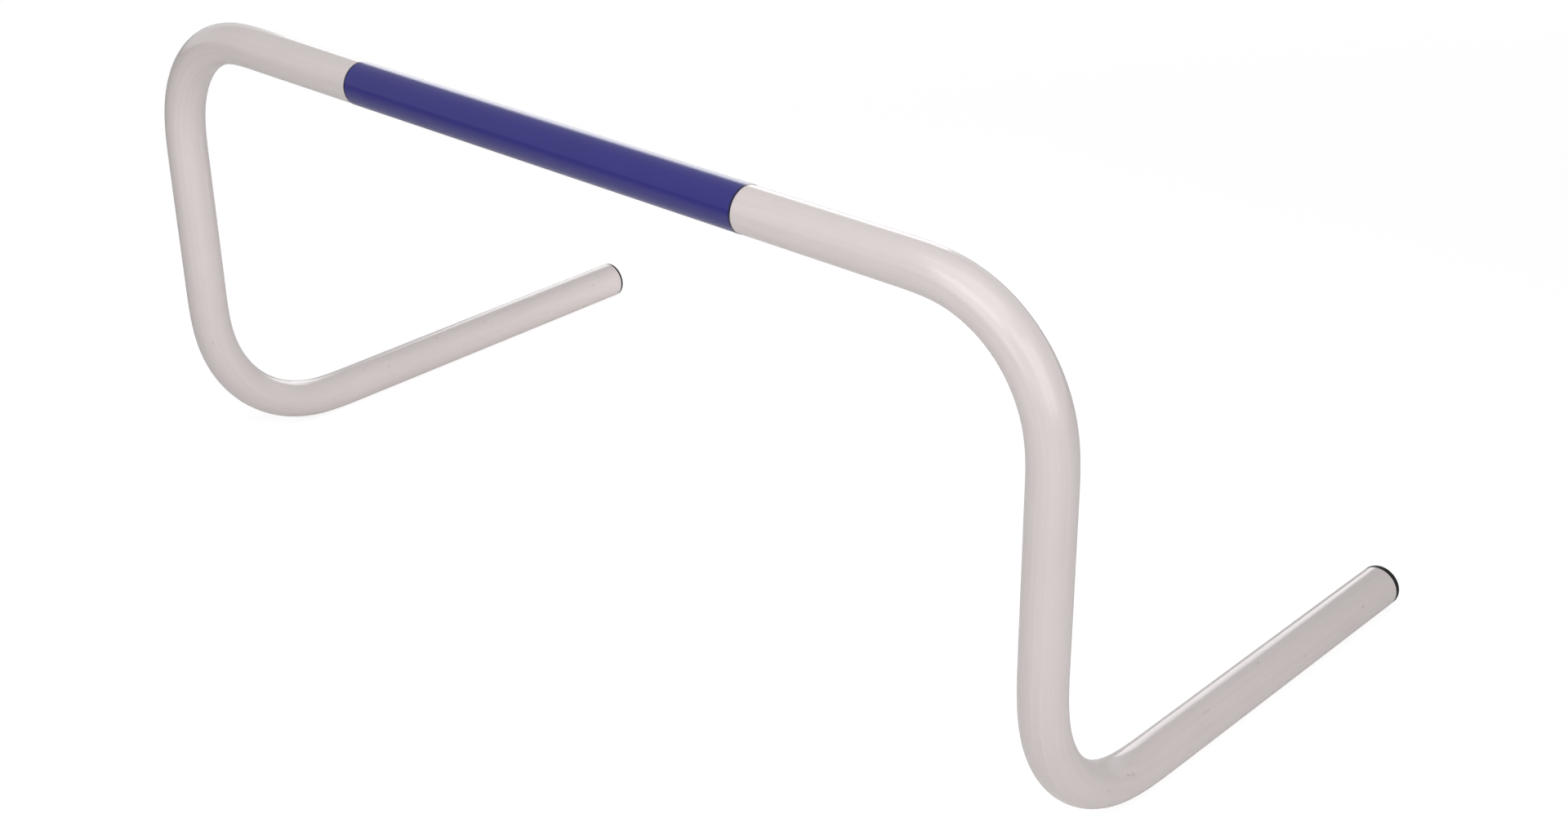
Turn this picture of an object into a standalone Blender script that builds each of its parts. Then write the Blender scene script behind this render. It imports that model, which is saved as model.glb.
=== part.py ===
"""Low training hurdle for running drills, bent from one length of plastic tube.

The tube starts at the end of the left foot, turns up into the left leg, over into the crossbar,
down the right leg and out along the right foot, which is a little shorter than the left one. A
band of coloured film is wrapped round the middle of the crossbar. Each foot is closed by a
ribbed plug, and behind the plug lies a steel bar: without that weight the hurdle would fall on
its back, because the middle of its own mass is nearer the crossbar than the first point of the
feet that touches the ground.

Metres, +Z up. The origin is on the ground, at the middle of the hurdle's outline. The crossbar
runs along X, the feet lie along Y and their plugs face +Y. Left is -X and right is +X.
"""

import math

import bmesh
import bpy
import numpy as np
from mathutils import Vector

# Overall size, measured on the outside: the film is what is highest and furthest forward
WIDTH = 0.700
DEPTH = 0.371
HEIGHT = 0.310

# The tube, with the radii of its bends taken on its centreline where they are tightest
FOOT_DIFFERENCE = 0.024  # how much shorter the right foot is than the left one
TUBE_DIAMETER = 0.025
TUBE_WALL = 0.002
TOP_BEND_RADIUS = 0.074
FOOT_BEND_RADIUS = 0.086
BEND_EASE = 0.30  # share of a bend over which its curvature builds up, and falls away again

# The film band on the crossbar, wrapped once round and lapped over its own starting edge
BAND_LENGTH = 0.300
FILM_THICKNESS = 0.0003
LAP_GAP = 0.0001
LAP_FACETS = 3  # the lap's width, in facets of the tube
LAP_START = 9  # the facet that the starting edge ends, counted from the top towards the back

# The end plugs: a domed head that covers the tube's end, and a hollow stem with ribs
HEAD_DIAMETER = 0.0248
HEAD_THICKNESS = 0.0020
HEAD_ROUNDING = 0.0006
HEAD_DOME = 0.0006
STEM_DIAMETER = 0.0170
STEM_WALL = 0.0018
STEM_LENGTH = 0.0240
STEM_TAPER = 0.0015
RIBS = 5
RIB_DIAMETER = 0.0202
RIB_PITCH = 0.0042
RIB_ROOT = 0.0014
RIB_TIP = 0.0005
RIB_RAKE = 0.0010  # how far a rib's tip leans back towards the head

# The steel bars inside the feet
WEIGHT_DIAMETER = 0.0200
WEIGHT_LENGTH = 0.0700
WEIGHT_CHAMFER = 0.0010
WEIGHT_CLEARANCE = 0.0020  # from the stem of the plug

FIT_GAP = 0.0003  # between surfaces that touch on the real hurdle

# Facets
TUBE_SIDES = 32
PLUG_SIDES = 24
BEND_STEPS = 12
ROUNDING_STEPS = 4
DOME_STEPS = 3
BEND_SAMPLES = 2001
SMOOTH_UNDER = math.radians(35)

RIGHT_ANGLE = math.pi / 2
TUBE_RADIUS = TUBE_DIAMETER / 2
FILM_RADIUS = TUBE_RADIUS + FIT_GAP + FILM_THICKNESS
FACET_DEPTH = math.cos(math.pi / TUBE_SIDES)  # the middle of a facet, as a share of the radius

LEG_X = WIDTH / 2 - TUBE_RADIUS * FACET_DEPTH
BAR_Y = FILM_RADIUS * FACET_DEPTH - DEPTH / 2
BAR_Z = HEIGHT - FILM_RADIUS * FACET_DEPTH
FOOT_Z = TUBE_RADIUS * FACET_DEPTH
LEFT_END_Y = DEPTH / 2 - HEAD_DOME - HEAD_THICKNESS - FIT_GAP
RIGHT_END_Y = LEFT_END_Y - FOOT_DIFFERENCE
WEIGHT_SETBACK = STEM_LENGTH + WEIGHT_CLEARANCE + WEIGHT_LENGTH / 2  # from the tube's end


def clear_scene():
    for old in list(bpy.data.objects):
        bpy.data.objects.remove(old, do_unlink=True)


def linear(hex_colour):
    """An sRGB colour such as "1A1A1C" as the linear RGBA that a shader takes."""
    channels = [int(hex_colour[i : i + 2], 16) / 255 for i in (0, 2, 4)]
    return [c / 12.92 if c <= 0.04045 else ((c + 0.055) / 1.055) ** 2.4 for c in channels] + [1]


def finish(name, hex_colour, roughness, metallic=0.0):
    """A plain Principled material."""
    material = bpy.data.materials.new(name)
    material.use_nodes = True
    shader = material.node_tree.nodes["Principled BSDF"]
    shader.inputs["Base Color"].default_value = linear(hex_colour)
    shader.inputs["Roughness"].default_value = roughness
    shader.inputs["Metallic"].default_value = metallic
    return material


def running_total(values, spacing):
    """The integral of evenly spaced values, from nothing, by the trapezium rule."""
    return np.concatenate([[0.0], np.cumsum((values[1:] + values[:-1]) / 2 * spacing)])


def right_angled_bend(radius):
    """A bend that starts along one line and ends square to it, as (along, across, turned) rows.

    Its curvature grows evenly from nothing to 1 / radius, holds, and falls away evenly, as a
    heated tube takes the shape of a round former. The heading is the integral of the curvature
    over the arc length, and the place is the integral of the heading's cosine and sine. The
    rows are evenly spaced in heading. Along and across both end at the same value, which is
    the distance from either end of the bend to the corner of its two lines.
    """
    ramp = BEND_EASE * RIGHT_ANGLE * radius
    length = (1 - BEND_EASE) * RIGHT_ANGLE * radius + 2 * ramp
    arc, spacing = np.linspace(0, length, BEND_SAMPLES, retstep=True)
    curvature = np.minimum(1, np.minimum(arc, length - arc) / ramp) / radius
    heading = running_total(curvature, spacing)
    along = running_total(np.cos(heading), spacing)
    across = running_total(np.sin(heading), spacing)
    turned = np.linspace(0, RIGHT_ANGLE, BEND_STEPS + 1)
    return np.column_stack(
        [np.interp(turned, heading, along), np.interp(turned, heading, across), turned]
    )


def hurdle_centreline():
    """Stations (point, direction) along the tube's axis, from the left foot to the right one."""
    corners = [
        Vector((-LEG_X, BAR_Y, FOOT_Z)),
        Vector((-LEG_X, BAR_Y, BAR_Z)),
        Vector((LEG_X, BAR_Y, BAR_Z)),
        Vector((LEG_X, BAR_Y, FOOT_Z)),
    ]
    radii = [FOOT_BEND_RADIUS, TOP_BEND_RADIUS, TOP_BEND_RADIUS, FOOT_BEND_RADIUS]
    back, up, right = Vector((0, 1, 0)), Vector((0, 0, 1)), Vector((1, 0, 0))
    headings = [-back, up, right, -up, back]
    stations = [(Vector((-LEG_X, LEFT_END_Y, FOOT_Z)), headings[0])]
    for corner, radius, before, after in zip(corners, radii, headings, headings[1:]):
        bend = right_angled_bend(radius)
        reach = bend[-1][0]
        for along, across, turned in bend:
            point = corner + before * float(along - reach) + after * float(across)
            stations.append((point, before * math.cos(turned) + after * math.sin(turned)))
    stations.append((Vector((LEG_X, RIGHT_END_Y, FOOT_Z)), headings[-1]))
    return stations


def sweep(bm, stations, radius):
    """Carries a ring of TUBE_SIDES facets along the stations and returns the rings' vertices.

    Each ring is turned from the last by the least rotation that follows the axis, so it never
    twists. The rings start half a facet round from straight up: a facet, not an edge, faces
    the ground under each foot.
    """
    up = Vector((0, 0, 1))
    last = stations[0][1]
    rings = []
    for point, direction in stations:
        up = last.rotation_difference(direction) @ up
        last = direction
        sideways = direction.cross(up)
        ring = []
        for step in range(TUBE_SIDES):
            angle = (step + 0.5) * math.tau / TUBE_SIDES
            outward = up * math.cos(angle) + sideways * math.sin(angle)
            ring.append(bm.verts.new(point + outward * radius))
        rings.append(ring)
    join_rings(bm, rings)
    return rings


def join_rings(bm, rings):
    """A row of four-cornered faces between each ring of vertices and the next."""
    for ring, following in zip(rings, rings[1:]):
        for i, vertex in enumerate(ring):
            after = (i + 1) % len(ring)
            bm.faces.new((vertex, ring[after], following[after], following[i]))


def swept_tube(name, stations, outer_radius, inner_radius):
    """An open-ended tube along the stations, as a mesh."""
    bm = bmesh.new()
    outside = sweep(bm, stations, outer_radius)
    inside = sweep(bm, stations, inner_radius)
    for end in (0, -1):
        join_rings(bm, [outside[end], inside[end]])
    return smooth_mesh(bm, name)


def turned_mesh(name, profile):
    """Turns a closed profile of (radius, y) points round the Y axis, as a mesh."""
    bm = bmesh.new()
    outline = [bm.verts.new((radius, y, 0)) for radius, y in profile]
    edges = [bm.edges.new(pair) for pair in zip(outline, outline[1:])]
    bmesh.ops.spin(
        bm,
        geom=outline + edges,
        cent=(0, 0, 0),
        axis=(0, 1, 0),
        angle=math.tau,
        steps=PLUG_SIDES,
        use_merge=True,
    )
    bmesh.ops.remove_doubles(bm, verts=bm.verts, dist=1e-6)
    return smooth_mesh(bm, name)


def smooth_mesh(bm, name):
    """Closes a bmesh into a mesh with outward faces, smooth except at its real edges."""
    bmesh.ops.recalc_face_normals(bm, faces=bm.faces)
    mesh = bpy.data.meshes.new(name)
    bm.to_mesh(mesh)
    bm.free()
    mesh.shade_smooth()
    mesh.set_sharp_from_angle(angle=SMOOTH_UNDER)
    return mesh


def place(name, mesh, material, origin, location=(0, 0, 0)):
    """Adds the mesh to the scene as a named part of the hurdle."""
    if not mesh.materials:
        mesh.materials.append(material)
    part = bpy.data.objects.new(name, mesh)
    part.location = location
    part.parent = origin
    bpy.context.scene.collection.objects.link(part)
    return part


def film_turn(first_radius):
    """One side of the wrapped film in section, as (y, z) points from its starting edge.

    It goes once round the tube, a point to each facet, climbs over the starting edge on the
    last facet of that turn, and runs on above the first turn for the width of the lap.
    """
    points = []
    for step in range(TUBE_SIDES + LAP_FACETS + 1):
        climb = FILM_THICKNESS + LAP_GAP if step >= TUBE_SIDES else 0
        angle = (LAP_START + 0.5 + step) * math.tau / TUBE_SIDES
        radius = first_radius + climb
        points.append((BAR_Y + radius * math.sin(angle), BAR_Z + radius * math.cos(angle)))
    return points


def band_mesh():
    """The film's section carried along the middle of the crossbar, as a mesh."""
    inner = film_turn(TUBE_RADIUS + FIT_GAP)
    outer = film_turn(FILM_RADIUS)
    outline = inner + outer[::-1]
    bm = bmesh.new()
    ends = (-BAND_LENGTH / 2, BAND_LENGTH / 2)
    rings = [[bm.verts.new((x, y, z)) for y, z in outline] for x in ends]
    join_rings(bm, rings)
    for ring in rings:
        for i in range(len(inner) - 1):
            bm.faces.new((ring[i], ring[i + 1], ring[-2 - i], ring[-1 - i]))
    return smooth_mesh(bm, "crossbar_band")


def plug_profile():
    """Half of the plug's section, as (radius, y) points from the dome's middle to the stem's bore.

    The tube's end is at y = 0 and the stem runs to -y. The dome is a shallow arc, the head's rim
    is a quarter circle, and each rib is a fin that leans back towards the head, so that it goes in
    easily and bites when pulled.
    """
    head_radius = HEAD_DIAMETER / 2
    face_radius = head_radius - HEAD_ROUNDING
    face_y = FIT_GAP + HEAD_THICKNESS
    points = []
    for step in range(DOME_STEPS):
        share = step / DOME_STEPS
        points.append((share * face_radius, face_y + HEAD_DOME * (1 - share**2)))
    for step in range(ROUNDING_STEPS + 1):
        angle = RIGHT_ANGLE * step / ROUNDING_STEPS
        radius = face_radius + HEAD_ROUNDING * math.sin(angle)
        points.append((radius, face_y - HEAD_ROUNDING * (1 - math.cos(angle))))
    points.append((head_radius, FIT_GAP))

    stem_radius = STEM_DIAMETER / 2
    rib_radius = RIB_DIAMETER / 2
    points.append((stem_radius, FIT_GAP))
    for rib in range(RIBS):
        root = -RIB_PITCH * (rib + 0.5)
        tip = root + RIB_RAKE
        points.append((stem_radius, root + RIB_ROOT / 2))
        points.append((rib_radius, tip + RIB_TIP / 2))
        points.append((rib_radius, tip - RIB_TIP / 2))
        points.append((stem_radius, root - RIB_ROOT / 2))
    points.append((stem_radius, STEM_TAPER - STEM_LENGTH))
    points.append((stem_radius - STEM_TAPER / 2, -STEM_LENGTH))

    bore_radius = stem_radius - STEM_WALL
    points.append((bore_radius, -STEM_LENGTH))
    points.append((bore_radius, 0))
    points.append((0, 0))
    return points


def weight_mesh():
    """A round steel bar along Y with its ends chamfered."""
    bm = bmesh.new()
    radius = WEIGHT_DIAMETER / 2
    half = WEIGHT_LENGTH / 2
    bmesh.ops.create_cone(
        bm,
        cap_ends=True,
        segments=TUBE_SIDES,
        radius1=radius,
        radius2=radius,
        depth=WEIGHT_LENGTH,
    )
    rims = [e for e in bm.edges if abs(abs(e.verts[0].co.z + e.verts[1].co.z) / 2 - half) < 1e-6]
    bmesh.ops.bevel(bm, geom=rims, offset=WEIGHT_CHAMFER, segments=1, affect="EDGES")
    quarter_turn = Vector((0, 0, 1)).rotation_difference(Vector((0, 1, 0))).to_matrix()
    bmesh.ops.rotate(bm, verts=bm.verts, cent=(0, 0, 0), matrix=quarter_turn)
    return smooth_mesh(bm, "foot_weight")


def build_hurdle():
    white_tube = finish("white extruded PVC", "E6DFDC", 0.38)
    blue_film = finish("indigo blue vinyl film", "3E3A86", 0.42)
    black_plug = finish("black moulded polyethylene", "151416", 0.5)
    bright_steel = finish("bright drawn steel", "8C8E91", 0.35, metallic=1.0)

    origin = bpy.data.objects.new("hurdle_origin", None)
    bpy.context.scene.collection.objects.link(origin)

    tube = swept_tube("frame_tube", hurdle_centreline(), TUBE_RADIUS, TUBE_RADIUS - TUBE_WALL)
    place("frame_tube", tube, white_tube, origin)
    place("crossbar_band", band_mesh(), blue_film, origin)

    plug = turned_mesh("end_plug", plug_profile())
    weight = weight_mesh()
    for side, x, end_y in (("left", -LEG_X, LEFT_END_Y), ("right", LEG_X, RIGHT_END_Y)):
        place("end_plug_" + side, plug, black_plug, origin, (x, end_y, FOOT_Z))
        weight_y = end_y - WEIGHT_SETBACK
        place("foot_weight_" + side, weight, bright_steel, origin, (x, weight_y, FOOT_Z))


clear_scene()
build_hurdle()
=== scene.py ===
"""Looks of a low training hurdle bent from one length of white plastic tube.

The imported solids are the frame. Three kinds of piece are made anew as finer surfaces, each a
formula worked out with numpy: the white tube with its eased bends, the indigo film wrapped
round the middle of the crossbar, and the black plug in the end of each foot. The steel bars
that lie inside the feet keep their solids and get their finish here.

Metres, +Z up, the crossbar along X, the feet along Y with their plugs at +Y.
"""

import math

import bpy
import numpy as np
from mathutils import Matrix, Vector


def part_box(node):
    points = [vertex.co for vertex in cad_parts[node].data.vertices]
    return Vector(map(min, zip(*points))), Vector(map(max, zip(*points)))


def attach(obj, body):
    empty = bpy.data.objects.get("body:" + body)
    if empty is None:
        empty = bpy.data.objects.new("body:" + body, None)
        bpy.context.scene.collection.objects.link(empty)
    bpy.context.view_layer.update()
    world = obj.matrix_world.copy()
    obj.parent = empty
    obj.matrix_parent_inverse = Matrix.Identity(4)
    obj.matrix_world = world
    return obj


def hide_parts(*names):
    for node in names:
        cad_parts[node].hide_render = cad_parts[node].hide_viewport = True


bl_info = {
    "name": "Training Hurdle",
    "version": (1, 0, 0),
    "blender": (4, 5, 0),
    "location": "3D Viewport > Sidebar > Hurdle",
    "description": "Makes the tube, film, plugs and finishes of a low training hurdle",
    "category": "Add Mesh",
}

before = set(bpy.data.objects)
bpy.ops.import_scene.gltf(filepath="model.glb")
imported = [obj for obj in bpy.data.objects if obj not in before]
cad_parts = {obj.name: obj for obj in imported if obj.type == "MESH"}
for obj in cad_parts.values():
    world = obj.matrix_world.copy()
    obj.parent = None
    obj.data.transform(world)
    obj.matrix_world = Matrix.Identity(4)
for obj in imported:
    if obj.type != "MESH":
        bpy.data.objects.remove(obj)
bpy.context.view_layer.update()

MM = 0.001
RIGHT_ANGLE = math.pi / 2
BACK, UP, RIGHT = (np.array(axis, float) for axis in ((0, 1, 0), (0, 0, 1), (1, 0, 0)))

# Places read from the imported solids
TUBE_LOW, TUBE_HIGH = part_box("frame_tube")
BAND_LOW, BAND_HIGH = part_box("crossbar_band")
PLUG_LOW, PLUG_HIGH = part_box("end_plug_right")
LEFT_PLUG_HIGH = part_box("end_plug_left")[1]
LEG_X = (PLUG_LOW.x + PLUG_HIGH.x) / 2
FOOT_Z = (PLUG_LOW.z + PLUG_HIGH.z) / 2
TUBE_RADIUS = FOOT_Z  # the tube lies on the ground
BAR_Y = TUBE_LOW.y + TUBE_RADIUS
BAR_Z = TUBE_HIGH.z - TUBE_RADIUS
LEFT_END_Y = TUBE_HIGH.y  # the left foot is the longer one
RIGHT_END_Y = LEFT_END_Y - (LEFT_PLUG_HIGH.y - PLUG_HIGH.y)
BAND_LENGTH = BAND_HIGH.x - BAND_LOW.x
HEAD_RADIUS = (PLUG_HIGH.x - PLUG_LOW.x) / 2

WHITE = (1.0, 1.0, 1.0, 1.0)

# How finely the surfaces are divided
TUBE_SIDES = 80
STRAIGHT_PITCH = 6 * MM
BEND_ROWS = 96
BEND_SAMPLES = 4001
FILM_SIDES = 160
FILM_ROWS = 61
PLUG_SIDES = 96
FACE_STEPS = 40
RIM_STEPS = 12
SMOOTH_ANGLE = math.radians(35)  # an edge that is sharper than this is shaded as an edge

# The stage
FLOOR_HALF = 15.0
FLOOR_SHADE = 0.35  # how white the floor is to the camera without its glow
GLOW_NEAR, GLOW_FAR = 0.8, 2.6  # distances from the hurdle between which the glow grows
GLOW_RISE = 0.08  # by how much it grows
BACKDROP_SIDES = (0.20, 0.35)  # where it begins and is full, as cosines from its middle
BACKDROP_BLUR = math.radians(2)  # at its top edge
SUN_WIDTH = math.radians(100)
NEAR_HALF = (0.1, -0.1, 0.15)  # the middle of the hurdle's near half
FOOT_FILL_AIM = (-LEG_X, LEFT_END_Y - 0.03, FOOT_Z)
BAR_FILL_AIM = (-0.25, BAR_Y, BAR_Z)
CAMERA_AIM = (0, 0.0139, 0.0661)
SENSOR_WIDTH = 36.0


def linear(hex_colour):
    """An sRGB colour such as "1A1A1C" as the three linear numbers that a shader takes."""
    channels = [int(hex_colour[i : i + 2], 16) / 255 for i in (0, 2, 4)]
    return [c / 12.92 if c <= 0.04045 else ((c + 0.055) / 1.055) ** 2.4 for c in channels]


# Settings that a user would change


class HurdleTubeSettings(bpy.types.PropertyGroup):
    wall: bpy.props.FloatProperty(
        name="Wall",
        description="Thickness of the tube's wall",
        default=0.002,
        unit="LENGTH",
    )
    top_bend: bpy.props.FloatProperty(
        name="Top Bend Radius",
        description="Radius of the crossbar's bends, on the centreline where they are tightest",
        default=0.074,
        unit="LENGTH",
    )
    foot_bend: bpy.props.FloatProperty(
        name="Foot Bend Radius",
        description="Radius of the feet's bends, on the centreline where they are tightest",
        default=0.086,
        unit="LENGTH",
    )
    ease: bpy.props.FloatProperty(
        name="Ease",
        description="Share of a bend over which its curvature builds up, and falls away again",
        default=0.30,
        subtype="FACTOR",
    )
    flattening: bpy.props.FloatProperty(
        name="Flattening",
        description="Share of its radius by which the tube is drawn in across a bend",
        default=0.012,
        subtype="FACTOR",
    )
    colour: bpy.props.FloatVectorProperty(
        name="Colour",
        description="Colour of the white plastic",
        default=linear("E1D8D7"),
        subtype="COLOR",
    )
    scuff_colour: bpy.props.FloatVectorProperty(
        name="Scuff Colour",
        description="Colour of the dirt in scratches and scuffs",
        default=linear("857C79"),
        subtype="COLOR",
    )
    roughness: bpy.props.FloatProperty(
        name="Roughness",
        description="Roughness of the extruded surface",
        default=0.15,
        subtype="FACTOR",
    )


class HurdleBandSettings(bpy.types.PropertyGroup):
    thickness: bpy.props.FloatProperty(
        name="Film Thickness",
        description="Thickness of the vinyl film",
        default=0.00015,
        unit="LENGTH",
    )
    lap: bpy.props.FloatProperty(
        name="Lap",
        description="How far the film runs on over its own starting edge",
        default=0.008,
        unit="LENGTH",
    )
    lap_angle: bpy.props.FloatProperty(
        name="Lap Angle",
        description="Where the starting edge lies, from the top of the bar towards the back",
        default=math.radians(107),
        subtype="ANGLE",
    )
    colour: bpy.props.FloatVectorProperty(
        name="Colour",
        description="Colour of the film",
        default=linear("2F2D7C"),
        subtype="COLOR",
    )
    edge_colour: bpy.props.FloatVectorProperty(
        name="Edge Colour",
        # Colour of the thin darker line along the film's cut ends
        description="Colour of the film's cut edge, where glue has caught dirt",
        default=linear("1B193C"),
        subtype="COLOR",
    )
    roughness: bpy.props.FloatProperty(
        name="Roughness",
        description="Roughness of the film",
        default=0.20,
        subtype="FACTOR",
    )


class HurdlePlugSettings(bpy.types.PropertyGroup):
    left_head: bpy.props.FloatProperty(
        name="Left Head Thickness",
        description="Thickness of the rim of the far plug's head",
        default=0.0017,
        unit="LENGTH",
    )
    right_head: bpy.props.FloatProperty(
        name="Right Head Thickness",
        description="Thickness of the rim of the near plug's head",
        default=0.0035,
        unit="LENGTH",
    )
    dome: bpy.props.FloatProperty(
        name="Dome",
        description="How far the middle of the head stands out past its rim",
        default=0.0003,
        unit="LENGTH",
    )
    colour: bpy.props.FloatVectorProperty(
        name="Colour",
        description="Colour of the moulded plug",
        default=linear("0C0B0C"),
        subtype="COLOR",
    )
    roughness: bpy.props.FloatProperty(
        name="Roughness",
        description="Roughness of the moulded surface",
        default=0.42,
        subtype="FACTOR",
    )


class HurdleWeightSettings(bpy.types.PropertyGroup):
    colour: bpy.props.FloatVectorProperty(
        name="Colour",
        description="Colour of the drawn steel",
        default=linear("8C8E91"),
        subtype="COLOR",
    )
    roughness: bpy.props.FloatProperty(
        name="Roughness",
        description="Roughness of the drawn steel",
        default=0.32,
        subtype="FACTOR",
    )


class HurdleStageSettings(bpy.types.PropertyGroup):
    azimuth: bpy.props.FloatProperty(
        name="Camera Azimuth",
        description="The camera's direction round the hurdle, 0 straight in front of the crossbar",
        default=math.radians(42.82),
        subtype="ANGLE",
    )
    elevation: bpy.props.FloatProperty(
        name="Camera Elevation",
        description="The camera's height above the horizon, as an angle",
        default=math.radians(26.28),
        subtype="ANGLE",
    )
    roll: bpy.props.FloatProperty(
        name="Camera Roll",
        description="How far the camera is turned about its own line of sight",
        default=math.radians(-0.62),
        subtype="ANGLE",
    )
    distance: bpy.props.FloatProperty(
        name="Camera Distance",
        description="From the camera to the point that it looks at",
        default=1.4294,
        unit="LENGTH",
    )
    focal_length: bpy.props.FloatProperty(
        name="Focal Length",
        description="Focal length of the camera's lens on a 36 mm sensor, in millimetres",
        default=52.68,
    )
    floor_colour: bpy.props.FloatVectorProperty(
        name="Floor Colour",
        description="Colour of the paper floor as it lights the hurdle from below",
        default=linear("F7F6F5"),
        subtype="COLOR",
    )
    floor_glow: bpy.props.FloatProperty(
        name="Floor Glow",
        description="Brightness added to the floor where it is looked at, to make it white",
        default=0.82,
    )
    back: bpy.props.FloatProperty(
        name="Back Light",
        description="Strength of the wide soft light low down behind the far leg",
        default=1.0,
    )
    right: bpy.props.FloatProperty(
        name="Right Light",
        description="Strength of the wide soft light low down on the right",
        default=1.2,
    )
    top_box: bpy.props.FloatProperty(
        name="Top Softbox",
        description="Power in watts of the softbox over the near top bend",
        default=4.05,
    )
    front_box: bpy.props.FloatProperty(
        name="Front Softbox",
        description="Power in watts of the softbox straight in front",
        default=3.0,
    )
    right_box: bpy.props.FloatProperty(
        name="Right Softbox",
        description="Power in watts of the softbox on the right, beyond the camera",
        default=3.0,
    )
    back_box: bpy.props.FloatProperty(
        name="Back Softbox",
        description="Power in watts of the large far softbox behind the hurdle",
        default=13.0,
    )
    foot_fill: bpy.props.FloatProperty(
        name="Foot Fill",
        description="Power in watts of the small softbox close to the end of the far foot",
        default=0.26,
    )
    bar_fill: bpy.props.FloatProperty(
        name="Bar Fill",
        description="Power in watts of the small softbox close to the far end of the crossbar",
        default=0.37,
    )
    backdrop_top: bpy.props.FloatProperty(
        name="Backdrop Top",
        description="Height above the horizon of the white backdrop behind the hurdle",
        default=math.radians(22),
        subtype="ANGLE",
    )
    room: bpy.props.FloatProperty(
        name="Room",
        description="Brightness of the room round the backdrop, as glossy surfaces mirror it",
        default=0.65,
    )


# Shapes


def running_total(values, spacing):
    """The integral of evenly spaced values, from nothing, by the trapezium rule."""
    return np.concatenate([[0.0], np.cumsum((values[1:] + values[:-1]) / 2 * spacing)])


def eased_bend(radius, ease):
    """A right-angled bend as arrays: along, across, turned, distance and curvature share.

    The curvature grows evenly from nothing to 1 / radius, holds, and falls away evenly. The
    heading is its integral over the arc length, and along and across are the integrals of the
    heading's cosine and sine. The rows are evenly spaced in arc length.
    """
    ramp = ease * RIGHT_ANGLE * radius
    length = (1 - ease) * RIGHT_ANGLE * radius + 2 * ramp
    arc, spacing = np.linspace(0, length, BEND_SAMPLES, retstep=True)
    share = np.minimum(1, np.minimum(arc, length - arc) / ramp)
    turned = running_total(share / radius, spacing)
    along = running_total(np.cos(turned), spacing)
    across = running_total(np.sin(turned), spacing)
    rows = np.linspace(0, length, BEND_ROWS + 1)
    return [np.interp(rows, arc, values) for values in (along, across, turned, arc, share)]


def tube_centreline(settings):
    """The tube's axis from the left foot's end to the right one's, with a row for each station.

    Gives each station's point, direction, up (square to the direction, never twisting about
    it), distance from the start, share of the bend's full curvature, and the direction of the
    bend's inside. Along a bend, point = start + before * along + after * across, direction =
    before * cos + after * sin, and up keeps its part square to the bend's plane while its part
    in that plane turns with the direction.
    """
    left, right = -LEG_X, LEG_X
    corners = np.array(
        [
            (left, BAR_Y, FOOT_Z),
            (left, BAR_Y, BAR_Z),
            (right, BAR_Y, BAR_Z),
            (right, BAR_Y, FOOT_Z),
        ]
    )
    radii = [settings.foot_bend, settings.top_bend, settings.top_bend, settings.foot_bend]
    headings = [-BACK, UP, RIGHT, -UP, BACK]
    point = np.array((left, LEFT_END_Y, FOOT_Z))
    up = UP
    travelled = 0.0
    rows = []

    def add_rows(points, directions, ups, distances, shares, insides):
        columns = [points, directions, ups, distances[:, None], shares[:, None], insides]
        rows.append(np.hstack(columns))

    def add_straight(start, end, heading, up_now, from_distance):
        length = float((end - start) @ heading)
        steps = max(1, round(length / STRAIGHT_PITCH))
        distance = np.linspace(0, length, steps + 1)[:-1]
        count = len(distance)
        add_rows(
            start + distance[:, None] * heading,
            np.tile(heading, (count, 1)),
            np.tile(up_now, (count, 1)),
            from_distance + distance,
            np.zeros(count),
            np.zeros((count, 3)),
        )
        return from_distance + length

    for corner, radius, before, after in zip(corners, radii, headings, headings[1:]):
        along, across, turned, arc, share = eased_bend(radius, settings.ease)
        start = corner - before * along[-1]
        travelled = add_straight(point, start, before, up, travelled)
        cos, sin = np.cos(turned)[:, None], np.sin(turned)[:, None]
        in_plane = float(up @ after)
        ups = up + in_plane * (after * (cos - 1) - before * sin)
        add_rows(
            (start + along[:, None] * before + across[:, None] * after)[:-1],
            (before * cos + after * sin)[:-1],
            ups[:-1],
            (travelled + arc)[:-1],
            share[:-1],
            (after * cos - before * sin)[:-1],
        )
        travelled += arc[-1]
        point = corner + after * across[-1]
        up = ups[-1]
    end = np.array((right, RIGHT_END_Y, FOOT_Z))
    last = add_straight(point, end, headings[-1], up, travelled)
    one = np.ones((1, 3))
    add_rows(
        end * one, headings[-1] * one, up * one, np.array([last]), np.zeros(1), np.zeros((1, 3))
    )
    table = np.vstack(rows)
    return {
        "point": table[:, 0:3],
        "direction": table[:, 3:6],
        "up": table[:, 6:9],
        "distance": table[:, 9],
        "share": table[:, 10],
        "inside": table[:, 11:14],
    }


def grid_faces(rows, columns, closed, first=0):
    """Four-cornered faces of a grid of vertices that are numbered row by row from the first.

    A closed grid has faces between its last column and its first one too.
    """
    row = np.arange(rows - 1)[:, None]
    column = np.arange(columns if closed else columns - 1)[None, :]
    following = (column + 1) % columns
    corners = [
        row * columns + column,
        row * columns + following,
        (row + 1) * columns + following,
        (row + 1) * columns + column,
    ]
    return np.stack([c.ravel() for c in corners], axis=1) + first


def make_piece(name, points, faces):
    """A mesh piece from an array of points and a list of faces, smooth except at its edges."""
    mesh = bpy.data.meshes.new(name)
    mesh.from_pydata(points.tolist(), [], faces)
    mesh.validate()
    mesh.update()
    mesh.shade_smooth()
    mesh.set_sharp_from_angle(angle=SMOOTH_ANGLE)
    piece = bpy.data.objects.new(name, mesh)
    bpy.context.scene.collection.objects.link(piece)
    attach(piece, "root")
    return piece


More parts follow.
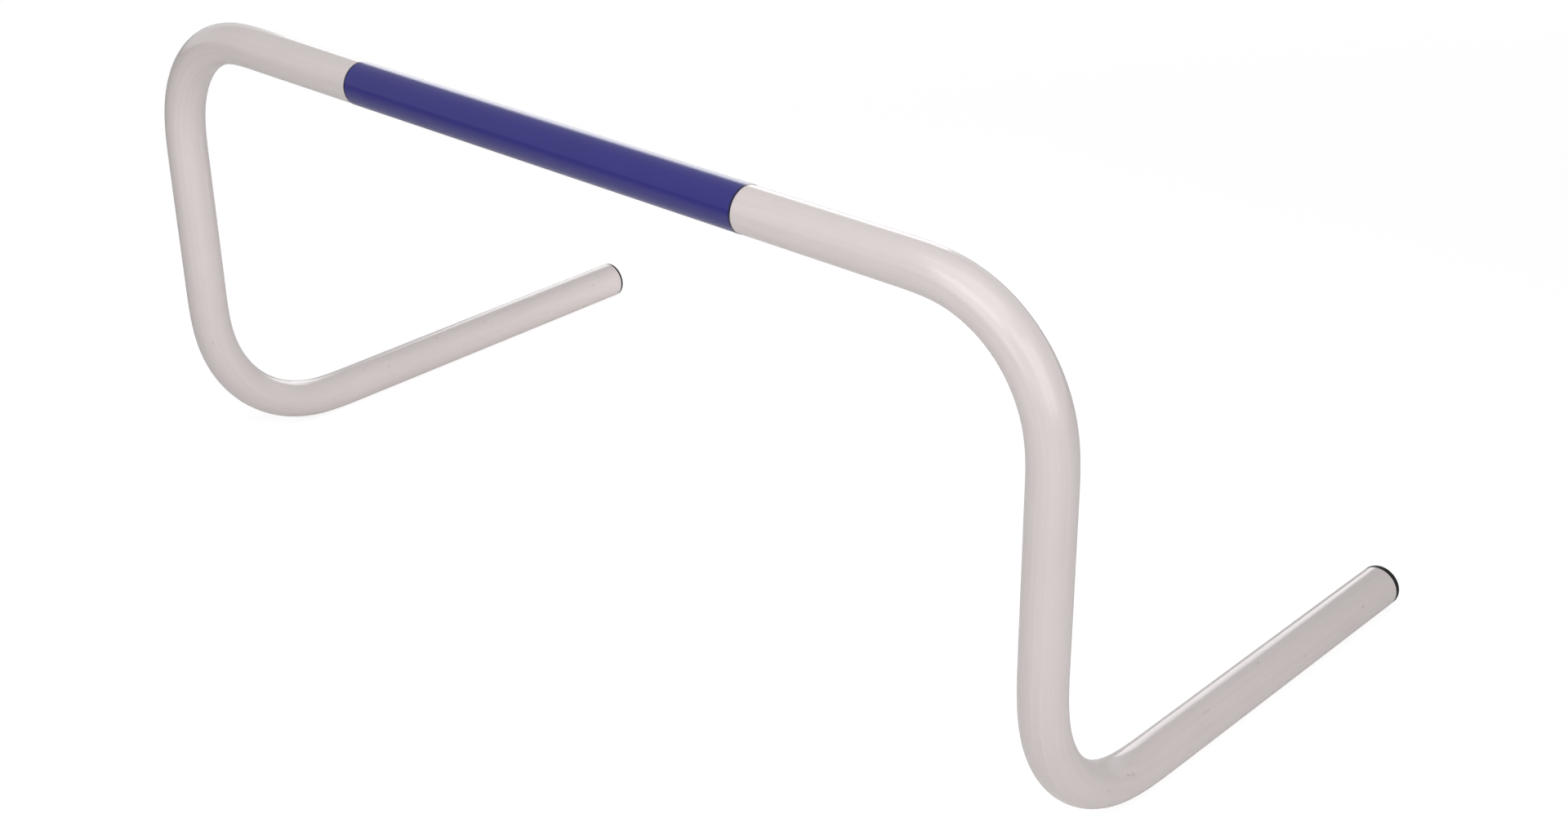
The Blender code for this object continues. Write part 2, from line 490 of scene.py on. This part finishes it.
def give_attribute(piece, name, values):
    """Stores a number or a vector for each vertex, for the piece's material to read."""
    kind, field = ("FLOAT", "value") if values.ndim == 1 else ("FLOAT_VECTOR", "vector")
    attribute = piece.data.attributes.new(name, kind, "POINT")
    attribute.data.foreach_set(field, values.astype(np.float32).ravel())


def sweep_tube(line, radius, flattening):
    """A ring of points round each station of the axis.

    A point is the station plus radius * (up * cos + side * sin), side being direction x up.
    Across a bend the radius is drawn in by flattening * share * (cosine to the inside) squared.
    Gives the points, each point's place on the tube laid out straight, and how far it faces the
    inside of a bend, all as rows x sides.
    """
    angle = np.linspace(0, math.tau, TUBE_SIDES, endpoint=False)
    side = np.cross(line["direction"], line["up"])
    cos, sin = np.cos(angle)[None, :, None], np.sin(angle)[None, :, None]
    outward = line["up"][:, None, :] * cos + side[:, None, :] * sin
    facing = (outward * line["inside"][:, None, :]).sum(axis=2)
    drawn_in = 1 - flattening * line["share"][:, None] * facing**2
    points = line["point"][:, None, :] + radius * drawn_in[:, :, None] * outward
    laid_out = np.stack(
        [
            np.broadcast_to(line["distance"][:, None], facing.shape),
            np.broadcast_to(radius * np.cos(angle)[None, :], facing.shape),
            np.broadcast_to(radius * np.sin(angle)[None, :], facing.shape),
        ],
        axis=2,
    )
    return points, laid_out, facing * line["share"][:, None]


def tube_piece(settings):
    """The white tube: its outer surface, its bore, and the square-cut rings that join them."""
    line = tube_centreline(settings)
    outer, outer_place, outer_facing = sweep_tube(line, TUBE_RADIUS, settings.flattening)
    bore, bore_place, bore_facing = sweep_tube(
        line, TUBE_RADIUS - settings.wall, settings.flattening
    )
    rows, sides = outer_facing.shape
    bore_first = rows * sides
    around = np.arange(sides)
    following = (around + 1) % sides
    last = (rows - 1) * sides
    start_ring = np.stack(
        [around, bore_first + around, bore_first + following, following], axis=1
    )
    end_ring = np.stack(
        [
            last + around,
            last + following,
            bore_first + last + following,
            bore_first + last + around,
        ],
        axis=1,
    )
    faces = np.vstack(
        [
            grid_faces(rows, sides, True),
            grid_faces(rows, sides, True, bore_first)[:, ::-1],
            start_ring,
            end_ring,
        ]
    )
    points = np.vstack([outer.reshape(-1, 3), bore.reshape(-1, 3)])
    piece = make_piece("white_tube", points, faces.tolist())
    place = np.vstack([outer_place.reshape(-1, 3), bore_place.reshape(-1, 3)])
    give_attribute(piece, "tube_place", place)
    facing = np.concatenate([outer_facing.ravel(), bore_facing.ravel()])
    give_attribute(piece, "bend_facing", facing)
    return piece


def film_piece(settings):
    """The film as a thin sheet wrapped once round the bar and lapped over its starting edge.

    One parameter runs along the bar, the other round it, from the starting edge through a full
    turn and on for the lap. The inner radius is the tube's plus a hair, and over the lap it is
    one film thickness more, reached along a smooth step just before the starting edge.
    """
    hair = 0.02 * MM
    climb_angle = math.radians(14)
    lap_angle = settings.lap / TUBE_RADIUS
    turn = np.linspace(0, math.tau + lap_angle, FILM_SIDES + 1)
    step = np.clip((turn - math.tau + climb_angle) / climb_angle, 0, 1)
    climb = (settings.thickness + hair) * step * step * (3 - 2 * step)
    angle = settings.lap_angle + turn
    inner = TUBE_RADIUS + hair + climb
    radii = np.concatenate([inner, (inner + settings.thickness)[::-1]])
    angles = np.concatenate([angle, angle[::-1]])
    across = np.linspace(-BAND_LENGTH / 2, BAND_LENGTH / 2, FILM_ROWS)
    outline = np.stack(
        [BAR_Y + radii * np.sin(angles), BAR_Z + radii * np.cos(angles)], axis=1
    )
    count = len(outline)
    points = np.empty((FILM_ROWS, count, 3))
    points[:, :, 0] = across[:, None]
    points[:, :, 1:] = outline[None, :, :]
    half = count // 2
    i = np.arange(half - 1)
    cap = np.stack([i, i + 1, count - 2 - i, count - 1 - i], axis=1)
    faces = np.vstack(
        [
            grid_faces(FILM_ROWS, count, True)[:, ::-1],
            cap,
            cap[:, ::-1] + (FILM_ROWS - 1) * count,
        ]
    )
    piece = make_piece("indigo_film", points.reshape(-1, 3), faces.tolist())
    along = np.broadcast_to(across[:, None], (FILM_ROWS, count))
    arc = np.broadcast_to((TUBE_RADIUS * np.concatenate([turn, turn[::-1]]))[None], along.shape)
    place = np.stack([along, arc, np.zeros_like(arc)], axis=2).reshape(-1, 3)
    give_attribute(piece, "film_place", place)
    return piece


def rim_points(centre_radius, centre_y, rounding):
    """Points (radius, y) on the quarter circle that rounds the rim in the plug's section."""
    angle = np.linspace(0, RIGHT_ANGLE, RIM_STEPS)
    radius = centre_radius + rounding * np.sin(angle)
    return np.stack([radius, centre_y + rounding * np.cos(angle)], axis=1)


def plug_outline(head_thickness, dome):
    """Half of the plug's section as (radius, y) points, from the head's middle to the stem's.

    The tube's end is at y = 0. The face is a parabola that falls by the dome's height from the
    middle to the rim, with a shallow round dimple where the moulding was fed. The rim is a
    quarter circle, the back of the head is flat, and each rib leans back towards the head.
    """
    gap = 0.1 * MM
    rounding = 0.4 * MM
    dimple_radius, dimple_depth = 2.6 * MM, 0.5 * MM
    stem_radius, stem_wall, stem_length, taper = 8.5 * MM, 1.8 * MM, 24.0 * MM, 1.5 * MM
    rib_radius, rib_pitch, rib_root, rib_tip, rib_rake = (
        10.1 * MM,
        4.2 * MM,
        1.4 * MM,
        0.5 * MM,
        1.0 * MM,
    )
    ribs = 5
    face_y = gap + head_thickness
    face_radius = HEAD_RADIUS - rounding
    radius = np.linspace(0, face_radius, FACE_STEPS)
    face = face_y + dome * (1 - (radius / face_radius) ** 2)
    inside = np.clip(radius / dimple_radius, 0, 1)
    face -= dimple_depth * (1 - inside * inside * (3 - 2 * inside))
    parts = [np.stack([radius, face], axis=1)]
    parts.append(rim_points(face_radius, face_y - rounding, rounding)[1:])
    parts.append(np.array([(HEAD_RADIUS, gap), (stem_radius, gap)]))
    for rib in range(ribs):
        root = -rib_pitch * (rib + 0.5)
        tip = root + rib_rake
        parts.append(
            np.array(
                [
                    (stem_radius, root + rib_root / 2),
                    (rib_radius, tip + rib_tip / 2),
                    (rib_radius, tip - rib_tip / 2),
                    (stem_radius, root - rib_root / 2),
                ]
            )
        )
    bore_radius = stem_radius - stem_wall
    parts.append(
        np.array(
            [
                (stem_radius, taper - stem_length),
                (stem_radius - taper / 2, -stem_length),
                (bore_radius, -stem_length),
                (bore_radius, 0),
                (0, 0),
            ]
        )
    )
    return np.vstack(parts)


def turned_points(outline, sides):
    """The outline turned round the Y axis: x = radius * sin, z = radius * cos, y as it is."""
    angle = np.linspace(0, math.tau, sides, endpoint=False)
    radius, y = outline[:, :1], outline[:, 1:]
    level = np.broadcast_to(y, (len(outline), sides))
    return np.stack([radius * np.sin(angle), level, radius * np.cos(angle)], axis=2)


def plug_piece(name, x, end_y, head_thickness, dome):
    """A plug in the end of a foot, turned from its section, with one point at each pole."""
    outline = plug_outline(head_thickness, dome)
    inner = turned_points(outline[1:-1], PLUG_SIDES).reshape(-1, 3)
    poles = np.array([(0, outline[0, 1], 0), (0, outline[-1, 1], 0)])
    points = np.vstack([inner, poles]) + np.array((x, end_y, FOOT_Z))
    rows = len(outline) - 2
    around = np.arange(PLUG_SIDES)
    following = (around + 1) % PLUG_SIDES
    last = (rows - 1) * PLUG_SIDES
    front, back = len(inner), len(inner) + 1
    quads = grid_faces(rows, PLUG_SIDES, True)
    front_fan = np.stack([np.full(PLUG_SIDES, front), following, around], axis=1)
    back_fan = np.stack([np.full(PLUG_SIDES, back), last + around, last + following], axis=1)
    return make_piece(name, points, quads.tolist() + front_fan.tolist() + back_fan.tolist())


# Materials


def add_node(tree, kind, inputs=None, **settings):
    """Adds a shader node with its settings.

    Its inputs go by name or number: a socket is linked to the input, and a value is set on it.
    """
    node = tree.nodes.new("ShaderNode" + kind)
    for name, value in settings.items():
        setattr(node, name, value)
    for key, value in (inputs or {}).items():
        if isinstance(value, bpy.types.NodeSocket):
            tree.links.new(value, node.inputs[key])
        else:
            node.inputs[key].default_value = value
    return node


def empty_material(name):
    """A material with an empty node tree and its output."""
    material = bpy.data.materials.new(name)
    material.use_nodes = True
    tree = material.node_tree
    tree.nodes.clear()
    return material, tree, tree.nodes.new("ShaderNodeOutputMaterial")


def rgba(colour, factor=1.0):
    """A colour times a factor, as the four numbers of a colour socket."""
    return (*(min(1.0, channel * factor) for channel in colour), 1.0)


def stretched(tree, place, *steps):
    """A place counted in steps of so many millimetres along X, Y and Z."""
    scale = [1 / (step * MM) for step in steps]
    return add_node(tree, "Mapping", {"Vector": place, "Scale": scale}).outputs["Vector"]


def noise(tree, place, scale, detail):
    """Smooth noise between 0 and 1, with about one swell in 1 / scale of the place."""
    inputs = {"Vector": place, "Scale": scale, "Detail": detail}
    return add_node(tree, "TexNoise", inputs).outputs["Fac"]


def ranged(tree, value, to_min=0.0, to_max=1.0, from_min=0.0, from_max=1.0):
    """A value carried evenly from one range to another, and held at the ends."""
    inputs = {
        "Value": value,
        "From Min": from_min,
        "From Max": from_max,
        "To Min": to_min,
        "To Max": to_max,
    }
    return add_node(tree, "MapRange", inputs).outputs["Result"]


def blended(tree, share, first, second):
    """A colour that goes from the first to the second as the share goes from 0 to 1."""
    inputs = {"Fac": share, "Color1": first, "Color2": second}
    return add_node(tree, "MixRGB", inputs).outputs["Color"]


def worked_out(tree, operation, *values):
    """The result of one step of arithmetic."""
    return add_node(tree, "Math", dict(enumerate(values)), operation=operation).outputs[0]


def relief(tree, height, depth, below=None):
    """A normal that shows a height of 1 as the given depth, on top of the relief below it."""
    inputs = {"Height": height, "Strength": 1.0, "Distance": depth}
    if below is not None:
        inputs["Normal"] = below
    return add_node(tree, "Bump", inputs).outputs["Normal"]


def finish(tree, output, inputs):
    """Ends a material's tree in its one shader."""
    shader = add_node(tree, "BsdfPrincipled", inputs)
    tree.links.new(shader.outputs["BSDF"], output.inputs["Surface"])


def white_pvc(settings):
    """Satin white PVC, extruded through a die and bent hot round a former.

    The plastic is coloured right through, with a soft gloss. The die leaves faint lines along
    the tube, cooling leaves slow clouds of slightly warmer white, the heated bends ripple a
    little on their insides, and use leaves grey scuffs, most of them low down.
    """
    material, tree, output = empty_material("white extruded PVC")
    place = add_node(tree, "Attribute", attribute_name="tube_place").outputs["Vector"]
    facing = add_node(tree, "Attribute", attribute_name="bend_facing").outputs["Fac"]

    clouds = noise(tree, place, 1 / (45 * MM), 3.0)
    lines = noise(tree, stretched(tree, place, 140, 1.6, 1.6), 1.0, 2.0)
    peel = noise(tree, place, 1 / (5 * MM), 2.0)
    ripple = noise(tree, stretched(tree, place, 6, 18, 18), 1.0, 1.0)
    inside = ranged(tree, facing, from_min=0.1, from_max=0.9)
    ripple = worked_out(tree, "MULTIPLY", ripple, inside)

    place_in_space = add_node(tree, "TexCoord").outputs["Object"]
    height = add_node(tree, "SeparateXYZ", {"Vector": place_in_space}).outputs["Z"]
    least = ranged(tree, height, 0.66, 0.74, from_max=150 * MM)
    scuffs = noise(tree, stretched(tree, place, 9, 3, 3), 1.0, 4.0)
    scuffs = ranged(tree, scuffs, to_max=0.5, from_min=least, from_max=0.82)

    dirt = rgba(settings.scuff_colour)
    colour = blended(tree, clouds, rgba(settings.colour, 0.97), rgba(settings.colour, 1.03))
    colour = blended(tree, ranged(tree, lines, to_max=0.14), colour, dirt)
    colour = blended(tree, scuffs, colour, dirt)
    roughness = ranged(tree, lines, settings.roughness - 0.05, settings.roughness + 0.05)
    normal = relief(tree, peel, 0.02 * MM)
    normal = relief(tree, lines, 0.006 * MM, normal)
    normal = relief(tree, ripple, 0.10 * MM, normal)
    plastic = {"Base Color": colour, "Roughness": roughness, "IOR": 1.53, "Normal": normal}
    finish(tree, output, plastic)
    return material


def indigo_vinyl(settings):
    """Satin self-adhesive vinyl film, calendered, wrapped by hand.

    Calendering leaves an even, finely pebbled gloss, and its colour darkens to a thin line
    along its cut ends.
    """
    material, tree, output = empty_material("indigo vinyl film")
    place = add_node(tree, "Attribute", attribute_name="film_place").outputs["Vector"]
    along = add_node(tree, "SeparateXYZ", {"Vector": place}).outputs["X"]
    from_middle = worked_out(tree, "ABSOLUTE", along)
    clean, dark = BAND_LENGTH / 2 - 1.7 * MM, BAND_LENGTH / 2 - 0.8 * MM
    # the colour darkens to the edge colour within about 1.7 mm of each cut end
    edge = ranged(tree, from_middle, from_min=clean, from_max=dark)
    tone = noise(tree, place, 1 / (30 * MM), 3.0)
    colour = blended(tree, tone, rgba(settings.colour, 0.94), rgba(settings.colour, 1.06))
    colour = blended(tree, edge, colour, rgba(settings.edge_colour))
    pebble = noise(tree, place, 1 / (1.2 * MM), 1.0)
    film = {
        "Base Color": colour,
        "Roughness": settings.roughness,
        "IOR": 1.52,
        "Specular IOR Level": 0.4,
        "Normal": relief(tree, pebble, 0.006 * MM),
    }
    finish(tree, output, film)
    return material


def black_polyethylene(settings):
    """Black moulded polyethylene: waxy, with the fine spark-eroded grain of its mould."""
    material, tree, output = empty_material("black moulded polyethylene")
    place = add_node(tree, "TexCoord").outputs["Object"]
    grain = noise(tree, place, 1 / (0.8 * MM), 2.0)
    plastic = {
        "Base Color": rgba(settings.colour),
        "Roughness": ranged(tree, grain, settings.roughness - 0.08, settings.roughness + 0.08),
        "IOR": 1.51,
        "Specular IOR Level": 0.15,
        "Normal": relief(tree, grain, 0.03 * MM),
    }
    finish(tree, output, plastic)
    return material


def drawn_steel(settings):
    """Bright drawn mild steel: a plain metal with fine die lines along the bar."""
    material, tree, output = empty_material("bright drawn steel")
    place = add_node(tree, "TexCoord").outputs["Object"]
    lines = noise(tree, stretched(tree, place, 0.8, 60, 0.8), 1.0, 2.0)
    steel = {
        "Base Color": rgba(settings.colour),
        "Metallic": 1.0,
        "Roughness": ranged(tree, lines, settings.roughness - 0.08, settings.roughness + 0.10),
        "Normal": relief(tree, lines, 0.01 * MM),
    }
    finish(tree, output, steel)
    return material


def mirrored(tree):
    """A socket that is 1 for glossy and transmission rays, which show the room in a surface."""
    path = add_node(tree, "LightPath").outputs
    return worked_out(tree, "MAXIMUM", path["Is Glossy Ray"], path["Is Transmission Ray"])


def seen(tree):
    """A socket that is 1 for the camera's rays."""
    return add_node(tree, "LightPath").outputs["Is Camera Ray"]


def studio_floor(settings):
    """Matt white paper. It lights the hurdle, and is mirrored in it, by its own colour.

    To the camera a glow lifts it to plain white, and what is left of its shading keeps the
    hurdle's shadow. Far off, where the softboxes don't reach, the glow is a little stronger.
    """
    material, tree, output = empty_material("matt white paper")
    lit = add_node(tree, "BsdfDiffuse", {"Color": rgba(settings.floor_colour)}).outputs[0]
    shade = add_node(tree, "BsdfDiffuse", {"Color": rgba((FLOOR_SHADE,) * 3)}).outputs[0]
    place = add_node(tree, "TexCoord").outputs["Object"]
    distance = add_node(tree, "VectorMath", {0: place}, operation="LENGTH").outputs["Value"]
    glow, full_glow = settings.floor_glow, settings.floor_glow + GLOW_RISE
    strength = ranged(tree, distance, glow, full_glow, GLOW_NEAR, GLOW_FAR)
    glow = add_node(tree, "Emission", {"Strength": strength}).outputs[0]
    looked_at = add_node(tree, "AddShader", {0: shade, 1: glow}).outputs[0]
    mix = add_node(tree, "MixShader", {0: seen(tree), 1: lit, 2: looked_at})
    tree.links.new(mix.outputs[0], output.inputs["Surface"])
    return material


# Stage


def add_floor(settings):
    """A flat square far wider than the view."""
    half = FLOOR_HALF
    corners = [(-half, -half, 0), (half, -half, 0), (half, half, 0), (-half, half, 0)]
    mesh = bpy.data.meshes.new("studio_floor")
    mesh.from_pydata(corners, [], [(0, 1, 2, 3)])
    mesh.materials.append(studio_floor(settings))
    floor = bpy.data.objects.new("studio_floor", mesh)
    bpy.context.scene.collection.objects.link(floor)


def add_surround(settings):
    """A world that is white to the camera.

    Glossy surfaces mirror a white backdrop behind the hurdle, across from the camera, and a
    darker room beside it and over it. A direction's height above the horizon is its Z, and how
    far it points to the backdrop is its dot product with the way from the camera, laid flat.
    """
    world = bpy.data.worlds.new("studio surround")
    bpy.context.scene.world = world
    world.use_nodes = True
    tree = world.node_tree
    tree.nodes.clear()
    direction = add_node(tree, "TexCoord").outputs["Generated"]
    height = add_node(tree, "SeparateXYZ", {"Vector": direction}).outputs["Z"]
    above = math.sin(settings.backdrop_top + BACKDROP_BLUR)
    below = math.sin(settings.backdrop_top - BACKDROP_BLUR)
    under_top = ranged(tree, height, from_min=above, from_max=below)
    behind = (-math.sin(settings.azimuth), math.cos(settings.azimuth), 0)
    towards = add_node(tree, "VectorMath", {0: direction, 1: behind}, operation="DOT_PRODUCT")
    begins, full = BACKDROP_SIDES
    across = ranged(tree, towards.outputs["Value"], from_min=begins, from_max=full)
    backdrop = worked_out(tree, "MULTIPLY", under_top, across)
    image = ranged(tree, backdrop, to_min=settings.room)
    image = worked_out(tree, "MULTIPLY", image, mirrored(tree))
    strength = worked_out(tree, "MAXIMUM", image, seen(tree))
    light = add_node(tree, "Background", {"Color": WHITE, "Strength": strength})
    output = tree.nodes.new("ShaderNodeOutputWorld")
    tree.links.new(light.outputs[0], output.inputs["Surface"])


def add_sun(name, azimuth, elevation, strength):
    """A wide soft light from far off, at angles in degrees that are measured as the camera's are.

    Glossy surfaces don't mirror it: they show the backdrop and the softboxes.
    """
    lamp = bpy.data.lights.new(name, "SUN")
    lamp.energy = strength
    lamp.angle = SUN_WIDTH
    light = bpy.data.objects.new(name, lamp)
    light.rotation_euler = (math.radians(90 - elevation), 0, math.radians(azimuth))
    light.visible_glossy = False
    bpy.context.scene.collection.objects.link(light)


def add_softbox(name, azimuth, elevation, distance, size, power, aim=NEAR_HALF):
    """A square lamp that faces its aim, at angles in degrees and a distance from there."""
    a, e = math.radians(azimuth), math.radians(elevation)
    away = Vector((math.sin(a) * math.cos(e), -math.cos(a) * math.cos(e), math.sin(e)))
    lamp = bpy.data.lights.new(name, "AREA")
    lamp.energy = power
    lamp.size = size
    light = bpy.data.objects.new(name, lamp)
    light.location = Vector(aim) + away * distance
    light.rotation_euler = away.to_track_quat("Z", "Y").to_euler()
    light.visible_camera = False
    bpy.context.scene.collection.objects.link(light)
    return light


def add_camera(settings):
    """Looks at a point on the hurdle's middle plane, low down and a little behind its origin."""
    turn = Matrix.Rotation(settings.azimuth, 4, "Z")
    tilt = Matrix.Rotation(RIGHT_ANGLE - settings.elevation, 4, "X")
    roll = Matrix.Rotation(settings.roll, 4, "Z")
    away = Matrix.Translation((0, 0, settings.distance))
    data = bpy.data.cameras.new("studio_camera")
    data.sensor_width = SENSOR_WIDTH
    data.lens = settings.focal_length
    camera = bpy.data.objects.new("studio_camera", data)
    camera.matrix_world = Matrix.Translation(CAMERA_AIM) @ turn @ tilt @ roll @ away
    bpy.context.scene.collection.objects.link(camera)
    bpy.context.scene.camera = camera


# Operators


class HURDLE_OT_make_tube(bpy.types.Operator):
    """Sweeps the white tube along its centreline and gives it its plastic"""

    bl_idname = "hurdle.make_tube"
    bl_label = "Make Tube"

    def execute(self, context):
        settings = context.scene.hurdle_tube
        piece = tube_piece(settings)
        piece.data.materials.append(white_pvc(settings))
        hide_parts("frame_tube")
        return {"FINISHED"}


class HURDLE_OT_wrap_band(bpy.types.Operator):
    """Wraps the indigo film round the middle of the crossbar"""

    bl_idname = "hurdle.wrap_band"
    bl_label = "Wrap Band"

    def execute(self, context):
        settings = context.scene.hurdle_band
        piece = film_piece(settings)
        piece.data.materials.append(indigo_vinyl(settings))
        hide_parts("crossbar_band")
        return {"FINISHED"}


class HURDLE_OT_fit_plugs(bpy.types.Operator):
    """Turns a black plug for the end of each foot"""

    bl_idname = "hurdle.fit_plugs"
    bl_label = "Fit Plugs"

    def execute(self, context):
        settings = context.scene.hurdle_plug
        material = black_polyethylene(settings)
        ends = (
            ("left", -LEG_X, LEFT_END_Y, settings.left_head),
            ("right", LEG_X, RIGHT_END_Y, settings.right_head),
        )
        for side, x, end_y, head_thickness in ends:
            piece = plug_piece("black_plug_" + side, x, end_y, head_thickness, settings.dome)
            piece.data.materials.append(material)
            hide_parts("end_plug_" + side)
        return {"FINISHED"}


class HURDLE_OT_finish_weights(bpy.types.Operator):
    """Gives the steel bars inside the feet their finish"""

    bl_idname = "hurdle.finish_weights"
    bl_label = "Finish Weights"

    def execute(self, context):
        material = drawn_steel(context.scene.hurdle_weight)
        for side in ("left", "right"):
            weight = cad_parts["foot_weight_" + side]
            weight.data.materials.clear()
            weight.data.materials.append(material)
        return {"FINISHED"}


class HURDLE_OT_set_stage(bpy.types.Operator):
    """Lays the floor and sets the lights and the camera"""

    bl_idname = "hurdle.set_stage"
    bl_label = "Set Stage"

    def execute(self, context):
        settings = context.scene.hurdle_stage
        add_floor(settings)
        add_surround(settings)
        add_sun("back_light", 225, 20, settings.back)
        add_sun("right_light", 90, 20, settings.right)
        add_softbox("top_softbox", 20, 60, 1.0, 1.0, settings.top_box)
        add_softbox("front_softbox", 3, 31, 1.13, 0.8, settings.front_box)
        add_softbox("right_softbox", 69, 27, 1.27, 0.8, settings.right_box)
        add_softbox("back_softbox", 223, 12, 3.0, 1.5, settings.back_box)
        fills = (
            add_softbox("foot_fill", 118, 12, 0.35, 0.12, settings.foot_fill, FOOT_FILL_AIM),
            add_softbox("bar_fill", -35, 37, 0.6, 0.3, settings.bar_fill, BAR_FILL_AIM),
        )
        for light in fills:
            light.visible_glossy = False
        add_camera(settings)
        context.scene.view_settings.view_transform = "Standard"
        return {"FINISHED"}


class HURDLE_PT_panel(bpy.types.Panel):
    """Lists the hurdle's pieces with their settings"""

    bl_idname = "HURDLE_PT_panel"
    bl_label = "Training Hurdle"
    bl_space_type = "VIEW_3D"
    bl_region_type = "UI"
    bl_category = "Hurdle"

    def draw(self, context):
        for operator, group in zip(OPERATORS, GROUPS):
            box = self.layout.box()
            settings = getattr(context.scene, group)
            for name in settings.bl_rna.properties.keys():
                if name not in ("rna_type", "name"):
                    box.prop(settings, name)
            box.operator(operator.bl_idname)


OPERATORS = (
    HURDLE_OT_make_tube,
    HURDLE_OT_wrap_band,
    HURDLE_OT_fit_plugs,
    HURDLE_OT_finish_weights,
    HURDLE_OT_set_stage,
)
GROUPS = {
    "hurdle_tube": HurdleTubeSettings,
    "hurdle_band": HurdleBandSettings,
    "hurdle_plug": HurdlePlugSettings,
    "hurdle_weight": HurdleWeightSettings,
    "hurdle_stage": HurdleStageSettings,
}


def register():
    for group in (*GROUPS.values(), *OPERATORS, HURDLE_PT_panel):
        bpy.utils.register_class(group)
    for name, group in GROUPS.items():
        setattr(bpy.types.Scene, name, bpy.props.PointerProperty(type=group))


def unregister():
    for name in GROUPS:
        delattr(bpy.types.Scene, name)
    for group in (HURDLE_PT_panel, *OPERATORS, *GROUPS.values()):
        bpy.utils.unregister_class(group)


def main():
    """Registers the add-on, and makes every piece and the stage."""
    register()
    bpy.ops.hurdle.make_tube()
    bpy.ops.hurdle.wrap_band()
    bpy.ops.hurdle.fit_plugs()
    bpy.ops.hurdle.finish_weights()
    bpy.ops.hurdle.set_stage()


if __name__ == "__main__":
    main()
